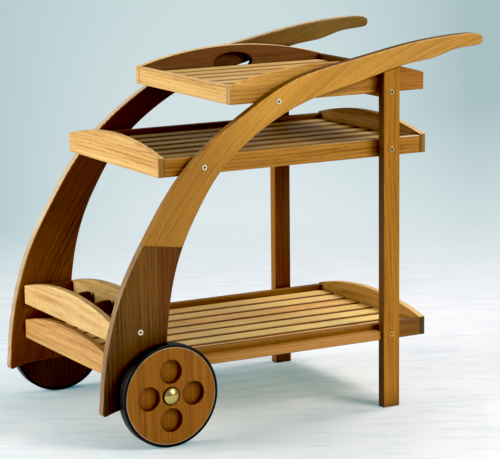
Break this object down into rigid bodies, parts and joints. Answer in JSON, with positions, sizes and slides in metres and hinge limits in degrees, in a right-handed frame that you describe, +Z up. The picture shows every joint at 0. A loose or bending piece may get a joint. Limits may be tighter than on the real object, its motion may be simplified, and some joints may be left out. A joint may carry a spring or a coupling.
{
  "type": "trolley cart",
  "caption": "Wooden serving trolley with curved arms that end in handles, wheels at one end and posts at the other, slatted shelves, a bottle rack and a lift-off slatted tray.",
  "frame": {"origin": "on the floor, under the middle of the trolley's bounding box", "axes": "+X along the trolley towards the handles, -Y to the near side, +Z up"},
  "size_m": [0.9848, 0.627, 0.8522],
  "materials": {
    "teak_frame": "oiled, satin",
    "teak_brown": "oiled, satin",
    "teak_board": "oiled, satin",
    "teak_slat": "oiled, satin",
    "teak_wheel": "oiled, satin",
    "tyre_rubber": "smooth, slightly glossy",
    "bush_plastic": "plain",
    "washer_dark": "blackened",
    "brass": "polished",
    "steel": "plain zinc"
  },
  "bodies": {
    "frame": {"axle": "steel", "axle_spacers": "bush_plastic", "barrel_nuts": "steel", "bottom_far_rail": "teak_board", "bottom_front_end": "teak_board", "bottom_near_rail": "teak_board", "bottom_rear_end": "teak_board", "bottom_slat_1": "teak_slat", "bottom_slat_2": "teak_slat", "bottom_slat_3": "teak_slat", "bottom_slat_4": "teak_slat", "bottom_slat_5": "teak_slat", "bottom_slat_6": "teak_slat", "bottom_slat_7": "teak_slat", "connector_bolts": "steel", "far_arm_lower": "teak_brown", "far_arm_upper": "teak_frame", "far_post": "teak_frame", "far_stretcher": "teak_frame", "front_tray_bearer": "teak_frame", "hub_caps": "brass", "hub_washers": "washer_dark", "middle_far_rail": "teak_board", "middle_front_end": "teak_board", "middle_near_rail": "teak_board", "middle_rear_end": "teak_board", "middle_slat_1": "teak_slat", "middle_slat_2": "teak_slat", "middle_slat_3": "teak_slat", "middle_slat_4": "teak_slat", "middle_slat_5": "teak_slat", "middle_slat_6": "teak_slat", "middle_slat_7": "teak_slat", "near_arm_lower": "teak_brown", "near_arm_upper": "teak_frame", "near_post": "teak_frame", "near_stretcher": "teak_frame", "post_dowels": "teak_frame", "rack_back_panel": "teak_board", "rack_dividers": "teak_board", "rack_far_side": "teak_board", "rack_front_rail": "teak_board", "rack_near_side": "teak_board", "rear_tray_bearer": "teak_frame", "shelf_battens": "teak_frame", "shelf_spacers": "teak_frame", "sleeve_nuts": "steel"},
    "tray": {"tray_near_side": "teak_board", "tray_far_side": "teak_board", "tray_front_end": "teak_board", "tray_rear_end": "teak_board", "tray_slats": "teak_slat", "tray_battens": "teak_frame"},
    "near_wheel": {"near_wheel_disc": "teak_wheel", "near_tyre": "tyre_rubber", "near_wheel_bush": "bush_plastic"},
    "far_wheel": {"far_wheel_disc": "teak_wheel", "far_tyre": "tyre_rubber", "far_wheel_bush": "bush_plastic"}
  },
  "joints": [
    {"name": "near_wheel_turn", "type": "hinge", "parent": "frame", "child": "near_wheel", "pos_m": [-0.34757, -0.28975, 0.115], "axis": [0, 1, 0], "continuous": true},
    {"name": "far_wheel_turn", "type": "hinge", "parent": "frame", "child": "far_wheel", "pos_m": [-0.34757, 0.28975, 0.115], "axis": [0, 1, 0], "continuous": true},
    {"name": "tray_lift", "type": "slide", "parent": "frame", "child": "tray", "axis": [0, 0, 1], "range_m": [0, 0.3]}
  ]
}
